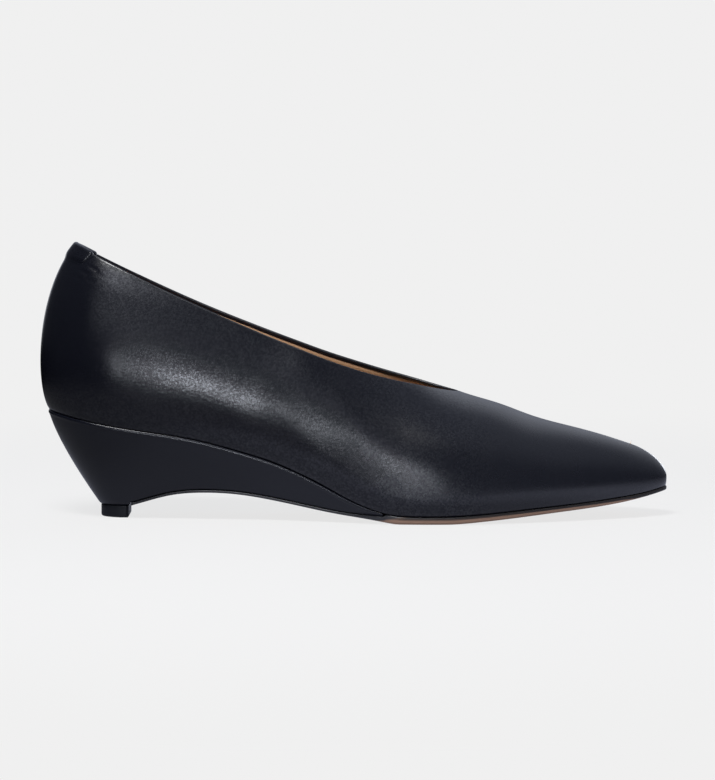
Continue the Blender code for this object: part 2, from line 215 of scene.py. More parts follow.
# Curves along the girth of the feather line, from the centre of the heel to the toe
HALF = (column(LAST, "lateral") + column(LAST, "medial")) / 2.0
GIRTH = np.concatenate([[0.0], np.cumsum(np.hypot(np.diff(column(LAST, "x")), np.diff(HALF)))])
along = spline(GIRTH, column(LAST, "x"), 0.0, 0.0)
half_lateral = spline(GIRTH, column(LAST, "lateral"))
half_medial = spline(GIRTH, column(LAST, "medial"))
over_lateral = spline(GIRTH, column(LAST, "over_lateral"), 0.0, 0.0)
over_medial = spline(GIRTH, column(LAST, "over_medial"), 0.0, 0.0)
rise = spline(GIRTH, column(LAST, "rise"), 0.0, 0.0)
crest_place = spline(GIRTH, column(LAST, "crest_x"), 0.0, 0.0)
crest_y = spline(column(CREST, "x"), column(CREST, "y"))
crest_z = spline(column(CREST, "x"), column(CREST, "z"), 0.0)
seat_z = spline(column(SEAT, "x"), column(SEAT, "z"))
joint_bend = spline(column(JOINT, "x"), column(JOINT, "bend"), 0.0, 0.0)
inner_lift = spline(column(INNER, "x"), column(INNER, "z"), 0.0, 0.0)


def girth_at(curve, value):
    """The girth where a rising curve takes a value."""
    low = 0.0
    high = GIRTH[-1]
    for _ in range(60):
        middle = (low + high) / 2.0
        if curve(middle) < value:
            low = middle
        else:
            high = middle
    return (low + high) / 2.0


def stations(first, last, spacing):
    """Places between two girths, closer where the spacing says so."""
    fine = np.linspace(first, last, 4000)
    density = np.concatenate([[0.0], np.cumsum(np.diff(fine) / spacing(fine[1:]))])
    count = int(round(density[-1]))
    return np.interp(np.linspace(0.0, density[-1], count + 1), density, fine)


def feather_line(girths, sides, outset=0.0):
    """Points of the feather line in plan, moved outward, and the outward directions there."""
    lateral = sides < 0
    half = np.where(lateral, half_lateral(girths), half_medial(girths))
    slope = np.where(lateral, half_lateral(girths, True), half_medial(girths, True))
    tangent = np.stack([along(girths, True), sides * slope], -1)
    tangent = tangent / np.linalg.norm(tangent, axis=-1, keepdims=True)
    outward = np.stack([-sides * tangent[..., 1], sides * tangent[..., 0]], -1)
    place = np.stack([along(girths), sides * half], -1)
    return place + outward * np.asarray(outset)[..., None], outward


def last_wall(girths, sides, angles):
    """Points of the last: below its widest line for negative angles, on the crest at 90 degrees."""
    girths, sides, angles = np.broadcast_arrays(girths, sides, angles)
    place, outward = feather_line(girths, sides)
    over = np.where(sides < 0, over_lateral(girths), over_medial(girths))
    height = rise(girths)
    widest = place + outward * over[..., None]
    widest_z = seat_z(place[..., 0]) + height
    turn = np.radians(np.abs(angles))
    end = np.radians(LOWER_TURN)
    inward = over * (1.0 - np.cos(turn)) / (1.0 - np.cos(end))
    below = widest - outward * inward[..., None]
    below_z = widest_z - height * np.sin(turn) / np.sin(end)
    top_x = crest_place(girths)
    reach = np.stack([top_x, crest_y(top_x)], -1) - widest
    lean = crest_z(top_x, True) * reach[..., 0]
    climb = crest_z(top_x) - widest_z - lean
    across = 1.0 - np.cos(turn)
    above_z = widest_z + climb * np.sin(turn) + lean * across
    lift = above_z - widest_z
    bend = joint_bend(np.clip(place[..., 0], JOINT[0].x, JOINT[-1].x))
    full = bend * lift ** 2 * np.exp(-(lift / JOINT_TALL) ** 4) * np.cos(turn)
    above = widest + reach * across[..., None] + outward * full[..., None]
    low = angles < 0
    plan = np.where(low[..., None], below, above)
    return np.concatenate([plan, np.where(low, below_z, above_z)[..., None]], -1)


def unit(vectors):
    return vectors / np.linalg.norm(vectors, axis=-1, keepdims=True)


def wall_normals(girths, sides, angles):
    """The outward directions of the last."""
    girths, sides, angles = np.broadcast_arrays(girths, sides, angles)
    step = 0.05
    ahead = last_wall(np.minimum(girths + step, GIRTH[-1]), sides, angles)
    behind = last_wall(np.abs(girths - step), np.where(girths < step, -sides, sides), angles)
    up = last_wall(girths, sides, angles + step) - last_wall(girths, sides, angles - step)
    return unit(np.cross(ahead - behind, up) * -sides[..., None])


def edge_line(lowered, throat_x):
    """The height along the shoe of a line that runs below the collar and round the throat.

    It closes in on the collar over the last 30 mm before the throat.
    """
    xs = column(COLLAR, "x")
    share = 0.2 + 0.85 * np.clip((throat_x - xs) / 30.0, 0.0, 1.0)
    zs = column(COLLAR, "z") - lowered(xs) * share
    return spline(np.append(xs, throat_x), np.append(zs, crest_z(throat_x)))


def edge_angles(girths, sides, edge, throat_x):
    """The angle at which that line cuts each section, 90 where the vamp is closed."""
    low = np.zeros(len(girths))
    high = np.full(len(girths), 90.0)
    for _ in range(50):
        middle = (low + high) / 2.0
        cut = last_wall(girths, sides, middle)
        lift = inner_lift(np.clip(cut[:, 0], INNER[0].x, INNER[-1].x))
        under = cut[:, 2] < edge(cut[:, 0]) + np.where(sides > 0, lift, 0.0)
        low = np.where(under, middle, low)
        high = np.where(under, high, middle)
    return np.where(crest_place(girths) >= throat_x - 1e-6, 90.0, (low + high) / 2.0)


# Distances behind the throat at which its rounded V is drawn
THROAT_STEPS = np.array([0.03, 0.12, 0.27, 0.5, 0.8, 1.2, 1.7, 2.4, 3.3, 4.4, 5.7, 7.2, 9.0, 11.0])
THROAT_REACH = 13.0


def ring_of_sections(throat_x, spacing, near_seam):
    """Sections right round the shoe: lateral from heel to toe, then medial back to the heel."""
    throat = girth_at(crest_place, throat_x)
    behind = stations(near_seam[-1], throat - THROAT_REACH, spacing)[1:]
    ahead = stations(throat, GIRTH[-1], spacing)
    girths = np.concatenate([near_seam, behind, throat - THROAT_STEPS[::-1], ahead])
    sides = np.concatenate([np.full(len(girths), -1.0), np.ones(len(girths) - 2)])
    return np.concatenate([girths, girths[-2:0:-1]]), sides


def ring_index(closed, rows):
    """Numbers of the ring's points, where both sides share the crest of a closed section."""
    index = np.arange(len(closed) * rows).reshape(len(closed), rows)
    for medial in range(len(closed) // 2 + 1, len(closed)):
        if closed[medial]:
            index[medial, 0] = index[len(closed) - medial, 0]
    return index


def grid(points):
    """Numbers of the points of a mesh that is given as columns of rows."""
    return np.arange(points.shape[0] * points.shape[1]).reshape(points.shape[:2])


def quads(index, closed):
    """Faces between neighbouring columns of points, whose rows run downward."""
    following = np.roll(index, -1, axis=0) if closed else index[1:]
    line = index if closed else index[:-1]
    corners = np.stack([line[:, 1:], following[:, 1:], following[:, :-1], line[:, :-1]], -1)
    return [tuple(dict.fromkeys(face)) for face in corners.reshape(-1, 4).tolist()]


def make_piece(name, points, faces, material, slot, *nodes):
    """A smooth mesh from millimetre points, which rides on the shoe and stands for the nodes."""
    used = np.unique(np.concatenate([np.asarray(face) for face in faces]))
    number = np.zeros(len(points), int)
    number[used] = np.arange(len(used))
    metres = (np.asarray(points)[used] - MIDDLE) * MILLIMETRE
    mesh = bpy.data.meshes.new(name)
    mesh.from_pydata(metres.tolist(), [], [[int(number[corner]) for corner in face] for face in faces])
    mesh.materials.append(material)
    mesh.shade_smooth()
    mesh.update()
    piece = bpy.data.objects.new(name, mesh)
    bpy.context.scene.collection.objects.link(piece)
    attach(piece, "root")
    if nodes:
        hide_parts(*nodes)
    return piece, used


# Fine pores, a soft unevenness of the skin, its speckle, its dye and its patches of gloss, shared by
# all the leathers
PORE_HEIGHT = 0.75
HAIR_HEIGHT = 0.5
HAIR_DENSITY = 0.9
SPECKLE_DENSITY = 1.3
SWELLS_PER_METRE = 95.0
PATCHES_PER_METRE = 55.0
DYE_CLOUDS_PER_METRE = 24.0
calf_grain = bpy.data.node_groups.new("calf_grain", "ShaderNodeTree")
for socket, kind in (("Pore Scale", "INPUT"), ("Swell", "INPUT"), ("Height", "OUTPUT"),
                     ("Tone", "OUTPUT"), ("Gloss", "OUTPUT"), ("Speckle", "OUTPUT")):
    calf_grain.interface.new_socket(socket, in_out=kind, socket_type="NodeSocketFloat")


def add_node(tree, kind, inputs=(), **settings):
    """A node with its settings and with values or links for its inputs."""
    node = tree.nodes.new(kind)
    for name, value in settings.items():
        setattr(node, name, value)
    for socket, value in dict(inputs).items():
        if isinstance(value, bpy.types.NodeSocket):
            tree.links.new(value, node.inputs[socket])
        else:
            node.inputs[socket].default_value = value
    return node


def calculate(tree, operation, first, second):
    """The result of one sum on two values or sockets."""
    return add_node(tree, "ShaderNodeMath", {0: first, 1: second}, operation=operation).outputs[0]


def noise(tree, place, scale, detail):
    """A cloudy value that changes from place to place."""
    settings = {"Vector": place, "Scale": scale, "Detail": detail}
    return add_node(tree, "ShaderNodeTexNoise", settings).outputs[0]


def remap(tree, value, start, end, low, high, interpolation="LINEAR"):
    """A value carried from one range to another and held at its ends."""
    ranges = {"Value": value, "From Min": start, "From Max": end, "To Min": low, "To Max": high}
    return add_node(tree, "ShaderNodeMapRange", ranges, interpolation_type=interpolation).outputs[0]


def mix_colours(tree, share, first, second):
    """A colour between two others."""
    sockets = {"Factor": share, "A": first, "B": second}
    return add_node(tree, "ShaderNodeMix", sockets, data_type="RGBA").outputs["Result"]


def new_material(name):
    """A new material, with its node tree and its surface."""
    material = bpy.data.materials.new(name)
    material.use_nodes = True
    tree = material.node_tree
    return material, tree, tree.nodes["Principled BSDF"]


def add_grain(tree, pore_scale, swell):
    """The outputs of the shared grain."""
    sizes = {"Pore Scale": pore_scale, "Swell": swell}
    return add_node(tree, "ShaderNodeGroup", sizes, node_tree=calf_grain).outputs


def finish_surface(tree, surface, colour, roughness, height, relief):
    """Gives a surface its colour, its roughness and a relief of so many millimetres."""
    bump = add_node(tree, "ShaderNodeBump", {"Height": height, "Strength": 1.0,
                    "Distance": relief * MILLIMETRE}).outputs[0]
    for socket, value in (("Base Color", colour), ("Roughness", roughness), ("Normal", bump)):
        tree.links.new(value, surface.inputs[socket])


entry = calf_grain.nodes.new("NodeGroupInput")
leaving = calf_grain.nodes.new("NodeGroupOutput")
place = add_node(calf_grain, "ShaderNodeTexCoord").outputs["Object"]
pore_scale = entry.outputs["Pore Scale"]
pores = add_node(calf_grain, "ShaderNodeTexVoronoi", {"Vector": place, "Scale": pore_scale,
                 "Smoothness": 0.6}, feature="SMOOTH_F1")
pore_height = calculate(calf_grain, "MULTIPLY", pores.outputs["Distance"], PORE_HEIGHT)
hairs = noise(calf_grain, place, calculate(calf_grain, "MULTIPLY", pore_scale, HAIR_DENSITY), 1.0)
hair_height = calculate(calf_grain, "MULTIPLY", hairs, HAIR_HEIGHT)
swells = noise(calf_grain, place, SWELLS_PER_METRE, 1.0)
swell_height = calculate(calf_grain, "MULTIPLY", swells, entry.outputs["Swell"])
fine_height = calculate(calf_grain, "ADD", pore_height, hair_height)
grain_height = calculate(calf_grain, "ADD", fine_height, swell_height)
patches = noise(calf_grain, place, PATCHES_PER_METRE, 3.0)
dyeing = noise(calf_grain, place, DYE_CLOUDS_PER_METRE, 4.0)
speckle_scale = calculate(calf_grain, "MULTIPLY", pore_scale, SPECKLE_DENSITY)
speckles = add_node(calf_grain, "ShaderNodeTexVoronoi", {"Vector": place, "Scale": speckle_scale})
for socket, value in (("Height", grain_height), ("Tone", dyeing), ("Gloss", patches),
                      ("Speckle", speckles.outputs["Color"])):
    calf_grain.links.new(value, leaving.inputs[socket])

# The range in which the cloudy values mostly lie
CLOUD_RANGE = (0.3, 0.7)


def leather(name, dark, light, roughness, pore_scale, swell, relief):
    """A dyed leather between two tones and two roughnesses, with its grain standing out by relief."""
    material, tree, surface = new_material(name)
    grain = add_grain(tree, pore_scale, swell)
    tone = remap(tree, grain["Tone"], *CLOUD_RANGE, 0.0, 1.0)
    dye = mix_colours(tree, tone, (*dark, 1.0), (*light, 1.0))
    polish = remap(tree, grain["Gloss"], *CLOUD_RANGE, *roughness)
    finish_surface(tree, surface, dye, polish, grain["Height"], relief)
    return material


BLACK_DYE = ((0.0050, 0.0056, 0.0094), (0.0072, 0.0079, 0.0120))
black_calf = leather("black_calf", *BLACK_DYE, (0.18, 0.23), 1250.0, 0.3, 0.022)

# The skin is duller over the joint of the foot, where it flexes
FLEXED_ROUGHNESS = 0.07
tree = black_calf.node_tree
surface = tree.nodes["Principled BSDF"]
place = add_node(tree, "ShaderNodeTexCoord").outputs["Object"]
toe_side = add_node(tree, "ShaderNodeSeparateXYZ", {0: place}).outputs["X"]
flexed = remap(tree, toe_side, -0.02, 0.02, 0.0, FLEXED_ROUGHNESS, "SMOOTHSTEP")
polish = surface.inputs["Roughness"].links[0].from_socket
tree.links.new(calculate(tree, "ADD", polish, flexed), surface.inputs["Roughness"])

# Its pores hold less polish than the skin between them, save at the toe, where it is stretched smooth
PLAIN_POLISH = 0.5
DULLEST_PORE = -0.14
SPECKLE = 0.6
TOE_SPECKLE = 0.1
grain = next(node for node in tree.nodes if node.type == "GROUP")
stretched = remap(tree, toe_side, 0.04, 0.065, SPECKLE, TOE_SPECKLE, "SMOOTHSTEP")
pore_depth = calculate(tree, "SUBTRACT", grain.outputs["Speckle"], 0.5)
speckle = calculate(tree, "MAXIMUM", calculate(tree, "MULTIPLY", pore_depth, stretched), DULLEST_PORE)
tree.links.new(calculate(tree, "ADD", speckle, PLAIN_POLISH), surface.inputs["Specular IOR Level"])

# The outer skin as columns of points from the collar down
NEAR_SEAM = np.array([0.0, 0.12, 0.24, 0.36, 0.55, 0.85, 1.3])
BELOW_EDGE = np.concatenate([np.arange(0.0, 3.0, 0.22), np.arange(3.1, 14.2, 0.55)])
WALL_ROWS = 22
LASTED_ROWS = 14


def skin_spacing(girth):
    """Close round the heel and the toe, wider along the flanks."""
    heel = 1.0 / (1.0 + np.exp((girth - 42.0) / 5.0))
    toe = np.exp(-((GIRTH[-1] - girth) / 24.0) ** 2)
    return 2.3 - 1.55 * heel - 1.5 * toe


def edge_rows(girths, sides, top, depths):
    """Angles of the rows that lie at given depths below the edge."""
    edge = last_wall(girths, sides, top)
    tall = np.linalg.norm(edge - last_wall(girths, sides, top - 4.0), axis=-1) / 4.0
    return top[:, None] - depths / tall[:, None]


girths, sides = ring_of_sections(THROAT_X, skin_spacing, NEAR_SEAM)
fold_line = edge_line(lambda xs: np.full(len(xs), FOLD), THROAT_X)
top = edge_angles(girths, sides, fold_line, THROAT_X)
closed = top == 90.0
near_edge = edge_rows(girths, sides, top, BELOW_EDGE)
to_widest = near_edge[:, -1:] * (1.0 - np.linspace(0.0, 1.0, WALL_ROWS + 1)[1:])
to_feather = -LOWER_TURN * np.linspace(0.0, 1.0, LASTED_ROWS + 1)[1:]
to_feather = np.broadcast_to(to_feather, (len(girths), LASTED_ROWS))
angles = np.concatenate([near_edge, to_widest, to_feather], 1)
skin = last_wall(girths[:, None], sides[:, None], angles)
normals = wall_normals(girths[:, None], sides[:, None], angles)

# The folded edge is two skins thick, so it stands out a little for the width of the fold.
# The seam is sunk, and each pucker has a low rim round it.
FOLD_PROUD = 0.07
FOLD_WIDTH = 4.0
FOLD_FADE = 25.0
SEAM_DEPTH = 0.22
SEAM_WIDTH = 0.28
PUCKER_RIM = 0.5
PUCKER_RIM_PLACE = 1.7
clear = np.where(closed, 0.0, np.clip((THROAT_X - skin[:, 0, 0]) / FOLD_FADE, 0.0, 1.0))
relief = np.zeros(skin.shape[:2])
relief[:, :len(BELOW_EDGE)] += clear[:, None] * FOLD_PROUD * np.exp(-(BELOW_EDGE / FOLD_WIDTH) ** 4)
relief -= (SEAM_DEPTH * np.exp(-(girths / SEAM_WIDTH) ** 2))[:, None]
for pucker in PUCKERS:
    start = np.array([pucker.x_start, pucker.z_start])
    run = np.array([pucker.x_end, pucker.z_end]) - start
    offset = skin[..., [0, 2]] - start
    share = np.clip(offset @ run / (run @ run), 0.0, 1.0)
    away = np.linalg.norm(offset - share[..., None] * run, axis=-1) / pucker.width
    relief -= pucker.depth * np.exp(-away ** 2)
    relief += PUCKER_RIM * pucker.depth * np.exp(-(away - PUCKER_RIM_PLACE) ** 2)
skin = skin + normals * relief[..., None]

# The lasted edge, turned in under the insole, by the inset and the lift of each row
foot, outward = feather_line(girths, sides)
turned = []
for inset, lift in ((0.35, -0.07), (1.0, -0.04), (2.2, 0.25)):
    turned.append(np.concatenate([foot - outward * inset, skin[:, -1, 2:] + lift], 1))
skin = np.concatenate([skin, np.stack(turned, 1)], 1)
index = ring_index(closed, skin.shape[1])
faces = quads(index, True)

# The fold: over the edge in a half round, then down the inside as a narrow band, deeper at the heel
BAND_PLACES = [-78.0, -66.0, -10.0]
BAND_DEPTHS = [3.6, 1.2, 1.3]
throat_column = int(np.flatnonzero(closed)[0])
loop = list(range(throat_column, -1, -1)) + list(range(len(girths) - 1, len(girths) - throat_column, -1))
edge_points = skin[loop, 0]
edge_normals = normals[loop, 0]
tangent = unit(np.roll(edge_points, -1, axis=0) - np.roll(edge_points, 1, axis=0))
rising = unit(np.cross(edge_normals, tangent))
if np.sum(rising * (skin[loop, 0] - skin[loop, 2])) < 0.0:
    rising = -rising
band_depth = np.interp(edge_points[:, 0], BAND_PLACES, BAND_DEPTHS)[:, None]
fold = []
for turn in np.linspace(0.0, np.pi, 9)[1:]:
    fold.append(edge_points + edge_normals * FOLD * (np.cos(turn) - 1.0) + rising * FOLD * np.sin(turn))
inside = fold[-1]
for share in (0.35, 0.7, 0.93):
    fold.append(inside - rising * band_depth * share)
for tuck in (0.15, 0.6):
    fold.append(inside - rising * band_depth + edge_normals * tuck)
fold = np.stack(fold[::-1], 1)
fold_index = np.concatenate([index.size + grid(fold), index[loop, :1]], 1)
faces += [face[::-1] for face in quads(fold_index, True)]
points = np.concatenate([skin.reshape(-1, 3), fold.reshape(-1, 3)])
upper, _ = make_piece("upper_skin", points, faces, black_calf, "upper_leather", "upper")

# The skin is rubbed duller where it is bent over the edge
folded_calf = leather("folded_calf", *BLACK_DYE, (0.36, 0.44), 1250.0, 0.3, 0.01)
upper.data.materials.append(folded_calf)
kinds = np.zeros(len(upper.data.polygons), int)
kinds[-fold.shape[0] * fold.shape[1]:] = 1
upper.data.polygons.foreach_set("material_index", kinds)

# Lining: thin tan leather glued to the inside of the upper from the fold down to the sock.
# Its cut edge is tucked behind the folded band, where it lies in shadow.
tan_lining = leather("tan_lining", (0.56, 0.33, 0.175), (0.63, 0.38, 0.21), (0.52, 0.62),
                     1900.0, 2.0, 0.02)
LINING_DEPTHS = np.array([0.0, 0.35, 0.8, 1.4, 2.4, 4.0, 6.0, 9.0, 12.0])
LINING_OFFSETS = np.array([1.0, 1.15, 1.4, 1.55])
LINING_TUCK = [3.2, 0.9, 1.1]
LINING_FOOT = -62.0
LINING_ROWS = 21
lining_throat = THROAT_X + 1.6


def lining_spacing(girth):
    return skin_spacing(girth) * 1.6


girths, sides = ring_of_sections(lining_throat, lining_spacing, np.array([0.0, 1.3]))
lining_line = edge_line(lambda xs: FOLD + np.interp(xs, BAND_PLACES, LINING_TUCK), lining_throat)
top = edge_angles(girths, sides, lining_line, lining_throat)
closed = top == 90.0
near_edge = edge_rows(girths, sides, top, LINING_DEPTHS)
down = np.linspace(0.0, 1.0, LINING_ROWS + 1)[1:]
to_sock = near_edge[:, -1:] + (LINING_FOOT - near_edge[:, -1:]) * down
angles = np.concatenate([near_edge, to_sock], 1)
offsets = np.full(angles.shape, LINING_OFFSETS[-1])
offsets[:, :len(LINING_OFFSETS)] = LINING_OFFSETS
offsets[closed] = LINING_OFFSETS[-1]
ahead = np.clip((crest_place(girths) - lining_throat) / 2.0, 0.0, 1.0)
sunk = LINING_OFFSETS[0] + (LINING_OFFSETS[-1] - LINING_OFFSETS[0]) * ahead
offsets[:, 0] = np.where(closed, sunk, offsets[:, 0])
points = last_wall(girths[:, None], sides[:, None], angles)
points = points - wall_normals(girths[:, None], sides[:, None], angles) * offsets[..., None]
faces = [face[::-1] for face in quads(ring_index(closed, angles.shape[1]), True)]
make_piece("lining", points.reshape(-1, 3), faces, tan_lining, "sock_leather")

# Back tab: a strip of the same calf folded over the collar at the centre of the heel and glued
# flat on both faces, so its rim stands a skin's thickness proud.
TAB_DEPTH = 7.2
TAB_INSIDE = 6.0
TAB_HALF_ARC = 25.5
TAB_FOOT = 0.84
TAB_SKIN = 0.8
TAB_SKIVE = 3.0
TAB_THINNEST = 0.12
TAB_END_LIFT = 0.15
TAB_ROUNDING = 1.3
shares = np.sin(np.linspace(-np.pi / 2.0, np.pi / 2.0, 121))
tab_sides = np.where(shares > 0.0, 1.0, -1.0)
rim = np.clip((1.0 - np.abs(shares)) * TAB_HALF_ARC / TAB_ROUNDING, 0.0, 1.0)
round_ends = np.sqrt(1.0 - (1.0 - rim) ** 2)


def tab_row(depth, width, outset):
    """One row of the strip at a depth below the collar, set off from the wall.

    With it come the outward and the upward directions at the collar.
    """
    girths = np.maximum(np.abs(shares) * TAB_HALF_ARC * width, 1e-4)
    top = edge_angles(girths, tab_sides, fold_line, THROAT_X)
    deep = depth * (1.0 - TAB_END_LIFT * shares * shares)
    row_angles = edge_rows(girths, tab_sides, top, deep[:, None])[:, 0]
    normal = wall_normals(girths, tab_sides, row_angles)
    edge = wall_normals(girths, tab_sides, top)
    up = unit(last_wall(girths, tab_sides, top) - last_wall(girths, tab_sides, top - 1.0))
    base = last_wall(girths, tab_sides, row_angles)
    return base + normal * (outset * round_ends)[:, None], edge, up


rows = []
for share in np.linspace(0.0, 1.0, 15):
    depth = TAB_DEPTH * (1.0 - share)
    width = TAB_FOOT + (1.0 - TAB_FOOT) * share
    lip = min(1.0, (TAB_DEPTH - depth) / TAB_SKIVE)
    thick = TAB_SKIN * (TAB_THINNEST + (1.0 - TAB_THINNEST) * lip * lip * (3.0 - 2.0 * lip))
    rows.append(tab_row(depth, width, thick)[0])
edge, normal, up = tab_row(0.0, 1.0, 0.0)
for turn in np.linspace(0.0, np.pi, 11)[1:-1]:
    radius = (FOLD + TAB_SKIN * round_ends)[:, None]
    rows.append(edge - normal * FOLD + radius * (normal * np.cos(turn) + up * np.sin(turn)))
for share in np.linspace(0.0, 1.0, 12):
    depth = TAB_INSIDE * share
    width = 1.0 - (1.0 - TAB_FOOT) * share
    lip = min(1.0, (TAB_INSIDE - depth) / TAB_SKIVE)
    thick = TAB_SKIN * np.sqrt(max(0.0, 1.0 - (1.0 - lip) ** 2))
    inner, row_normal, _ = tab_row(depth, width, 0.0)
    rows.append(inner - row_normal * (2.0 * FOLD + thick * round_ends)[:, None])
points = np.stack(rows[::-1], 1)
faces = [face[::-1] for face in quads(grid(points), False)]
make_piece("tab_strip", points.reshape(-1, 3), faces, black_calf, "upper_leather", "back_tab")

# Sock: tan leather glued over the insole board, turned up a little where it meets the lining.
# It covers the whole footbed from heel to toe.
tan_sock = leather("tan_sock", (0.38, 0.24, 0.145), (0.45, 0.295, 0.185), (0.5, 0.6), 1700.0, 3.0, 0.02)
INSOLE_THICKNESS = 2.2
INSOLE_FOOT = 0.2
SOCK_ACROSS = 17
SOCK_OUTSET = -0.55
SOCK_TURN_UP = 0.7
SOCK_TURN_WIDTH = 1.6


def sock_spacing(girth):
    """Close at the heel and at the toe."""
    return 4.0 - 2.8 * np.exp(-((GIRTH[-1] - girth) / 26.0) ** 2) - 2.0 * np.exp(-(girth / 26.0) ** 2)


girths = stations(0.0, GIRTH[-1], sock_spacing)
lateral = feather_line(girths, np.full(len(girths), -1.0), SOCK_OUTSET)[0]
medial = feather_line(girths, np.ones(len(girths)), SOCK_OUTSET)[0]
share = 0.5 - 0.5 * np.cos(np.pi * np.linspace(0.0, 1.0, SOCK_ACROSS))
plan = lateral[:, None] + (medial - lateral)[:, None] * share[None, :, None]
broad = np.linalg.norm(medial - lateral, axis=-1)[:, None]
from_edge = np.minimum(share, 1.0 - share) * broad
turn_up = SOCK_TURN_UP * np.exp(-(from_edge / SOCK_TURN_WIDTH) ** 2)
bed = np.concatenate([plan, (seat_z(plan[..., 0]) + INSOLE_THICKNESS + turn_up)[..., None]], -1)
board_edge = []
for line in (lateral, medial):
    board_edge.append(np.concatenate([line, seat_z(line[:, :1]) + INSOLE_FOOT], 1)[:, None])
points = np.concatenate([board_edge[0], bed, board_edge[1]], 1)
make_piece("sock", points.reshape(-1, 3), quads(grid(points), False), tan_sock, "sock_leather", "insole")

# Outsole: a thin leather sole from the heel tip along the arch to the toe, with a trimmed edge.
# The edge is burnished brown at the forefoot and inked black along the waist. Along the forefoot its top
# is darkened brown-black, partly ink and partly painted shade of the crevice under the upper.
GAP = 0.3
WAIST_SOLE = 1.1
WAIST_GROWTH = 1.2
GROWTH_START = -6.0
GROWTH_RUN = 18.0
SOLE_STEP = 1.2
SOLE_RIM = 0.35
RIM_START = 4.0
WEDGE_FRONT = 11.8
TREAD_BACK = 19.0
TREAD_FRONT = 38.0
SOLE_BACK = -92.7
Under = namedtuple("Under", "x z inset")
ARCH = (
    Under(-93.8, 4.75, 14.3),
    Under(-86.0, 7.2, 12.5),
    Under(-76.0, 9.95, 10.0),
    Under(-62.0, 11.3, 7.4),
    Under(-48.0, 10.7, 6.0),
    Under(-35.0, 8.75, 5.2),
    Under(-20.0, 5.85, 4.2),
    Under(-8.0, 3.65, 3.2),
    Under(4.0, 2.0, 1.7),
    Under(12.0, 0.8, 0.4),
    Under(TREAD_BACK, 0.0, -0.3),
)
SPRING = (
    Edge(TREAD_FRONT, 0.0),
    Edge(50.0, 0.65),
    Edge(65.0, 1.95),
    Edge(80.0, 3.4),
    Edge(95.0, 4.8),
    Edge(110.0, 6.55),
    Edge(120.0, 8.3),
    Edge(131.5, 10.7),
)
arch_z = spline(column(ARCH, "x"), column(ARCH, "z"), None, 0.0)
arch_inset = spline(column(ARCH, "x"), column(ARCH, "inset"), None, 0.0)
spring_z = spline(column(SPRING, "x"), column(SPRING, "z"), 0.0)


def under_z(x):
    """Height of the sole's underside."""
    tread = np.where(x > TREAD_FRONT, spring_z(np.maximum(x, TREAD_FRONT)), 0.0)
    return np.where(x < TREAD_BACK, arch_z(np.minimum(x, TREAD_BACK)), tread)


def sole_top(x):
    """Height of the sole's upper face: thin under the wedge, full ahead of it."""
    ahead = np.clip((x - WEDGE_FRONT - GAP) / SOLE_STEP, 0.0, 1.0)
    thin = WAIST_SOLE + WAIST_GROWTH * np.clip((x - GROWTH_START) / GROWTH_RUN, 0.0, 1.0) ** 1.5
    return under_z(x) + thin + (seat_z(x) - GAP - under_z(x) - thin) * ahead


def sole_outset(x):
    """How far the sole's edge lies outside the feather line."""
    share = np.clip((x - RIM_START) / (TREAD_BACK - RIM_START), 0.0, 1.0)
    waist = (SOLE_RIM + ARCH[-1].inset) * share - arch_inset(np.minimum(x, TREAD_BACK))
    return np.where(x > TREAD_BACK, SOLE_RIM, waist)


def sole_spacing(girth):
    """Close at the toe."""
    return 2.2 - 1.5 * np.exp(-((GIRTH[-1] - girth) / 24.0) ** 2)


# The trimmed edge from its top to the tread: inset, share of the height and how far it is dropped
EDGE_INSET = (5.0, 0.45, 0.13, 0.0, 0.0, 0.0, 0.0, 0.0, 0.1, 0.35)
HEIGHT_SHARE = np.array([1.0, 1.0, 1.0, 0.82, 0.62, 0.5, 0.4, 0.25, 0.07, 0.0])
EDGE_DROP = (0.0, 0.0, 0.1, 0.0, 0.0, 0.0, 0.0, 0.0, 0.0, 0.0)
step_back = WEDGE_FRONT + GAP
sole_cuts = [girth_at(along, x) for x in (SOLE_BACK, step_back, step_back + SOLE_STEP, TREAD_BACK)]
girths = np.concatenate([stations(start, end, sole_spacing)[:-1]
                         for start, end in zip(sole_cuts, sole_cuts[1:] + [GIRTH[-1]])] + [GIRTH[-1:]])
x = along(girths)
waist = (x <= TREAD_BACK)[:, None]
halves = []
for side in (-1.0, 1.0):
    place, outward = feather_line(girths, np.full(len(girths), side))
    outward = np.where(waist, np.array([0.0, side]), outward)
    place = place + outward * sole_outset(x)[:, None]
    low = under_z(place[:, 0])
    high = sole_top(place[:, 0])
    tall = high - low
    line = []
    for inset, share, drop in zip(EDGE_INSET, HEIGHT_SHARE, EDGE_DROP):
        inset_here = np.minimum(inset, tall * 0.35) if inset < 1.0 else np.full(len(x), inset)
        edge = place - outward * inset_here[:, None]
        edge_z = low + tall * share - drop * np.minimum(tall, 1.0)
        line.append(np.concatenate([edge, edge_z[:, None]], 1))
    halves.append(line)
lateral_foot = halves[0][-1]
medial_foot = halves[1][-1]
tread = []
for share in np.linspace(0.0, 1.0, 13)[1:-1]:
    tread.append(lateral_foot + (medial_foot - lateral_foot) * share)
points = np.stack(halves[0] + tread + halves[1][::-1], 1)
index = grid(points)
